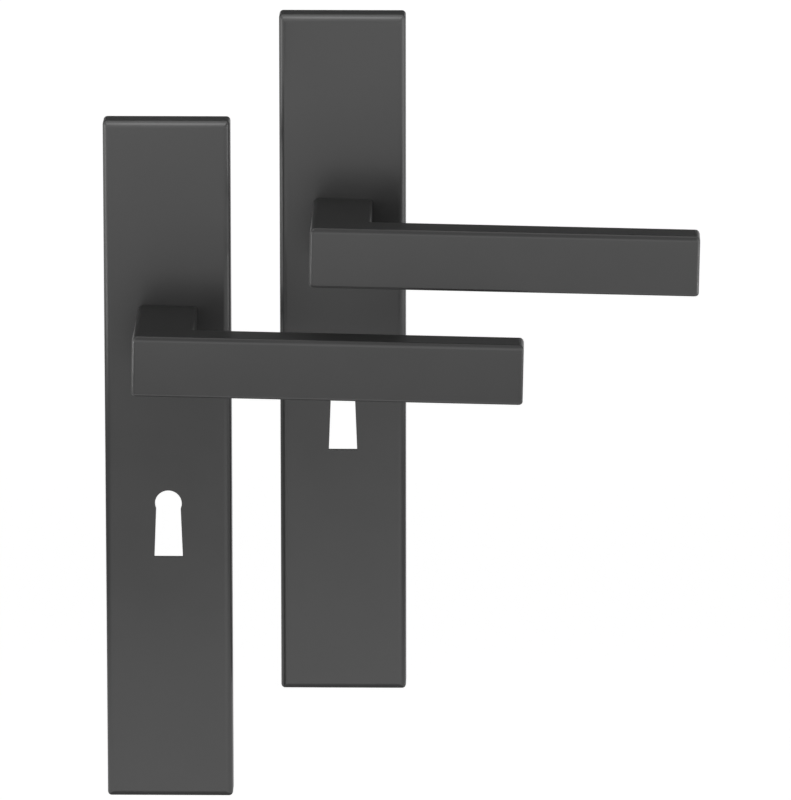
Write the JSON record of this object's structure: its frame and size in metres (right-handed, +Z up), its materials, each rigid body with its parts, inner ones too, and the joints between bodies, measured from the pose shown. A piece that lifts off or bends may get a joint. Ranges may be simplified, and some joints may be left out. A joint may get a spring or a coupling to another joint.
{
  "type": "door lever handle",
  "caption": "Pair of square-edged lever handles on long cover plates with a bit-key keyhole; each sprung lever turns down on a square spindle to draw a door latch.",
  "frame": {"origin": "the left handle's spindle axis at the face of the door", "axes": "+X along the grips towards their tips, +Z up, +Y into the door along the spindle"},
  "size_m": [0.1915, 0.1243, 0.2551],
  "materials": {
    "graphite_coat": "satin dark grey coating over die-cast zinc, with a fine brushed grain",
    "black_nylon": "moulded, fine matt texture",
    "white_acetal": "smooth, slightly waxy",
    "zinc_plate": "bright zinc plating on pressed or turned steel",
    "spindle_steel": "cold-drawn square bar, zinc plated",
    "spring_steel": "drawn spring steel, lightly oiled",
    "black_oxide": "blackened alloy steel"
  },
  "bodies": {
    "plates": {"left_cover_plate": "graphite_coat", "left_base_plate": "black_nylon", "left_bearing_bush": "white_acetal", "left_return_spring": "spring_steel", "left_upper_sleeve": "zinc_plate", "left_lower_sleeve": "zinc_plate", "right_cover_plate": "graphite_coat", "right_base_plate": "black_nylon", "right_bearing_bush": "white_acetal", "right_return_spring": "spring_steel", "right_upper_bolt": "zinc_plate", "right_lower_bolt": "zinc_plate"},
    "left_handle": {"left_lever": "graphite_coat", "left_set_screw": "black_oxide", "left_spring_driver": "zinc_plate", "left_thrust_washer": "zinc_plate", "left_retaining_ring": "spring_steel", "square_spindle": "spindle_steel"},
    "right_handle": {"right_lever": "graphite_coat", "right_set_screw": "black_oxide", "right_spring_driver": "zinc_plate", "right_thrust_washer": "zinc_plate", "right_retaining_ring": "spring_steel"}
  },
  "joints": [
    {"name": "left_lever_turn", "type": "hinge", "parent": "plates", "child": "left_handle", "pos_m": [0, 0, 0], "axis": [0, 1, 0], "range_deg": [0, 45], "stiffness_Nm_per_rad": 0.9, "springref_deg": -40.11, "deforming": ["left_return_spring"]},
    {"name": "right_lever_turn", "type": "hinge", "parent": "plates", "child": "right_handle", "pos_m": [0.056, 0.022, 0.0305], "axis": [0, 1, 0], "range_deg": [0, 45], "stiffness_Nm_per_rad": 0.9, "springref_deg": -40.11, "deforming": ["right_return_spring"]}
  ]
}
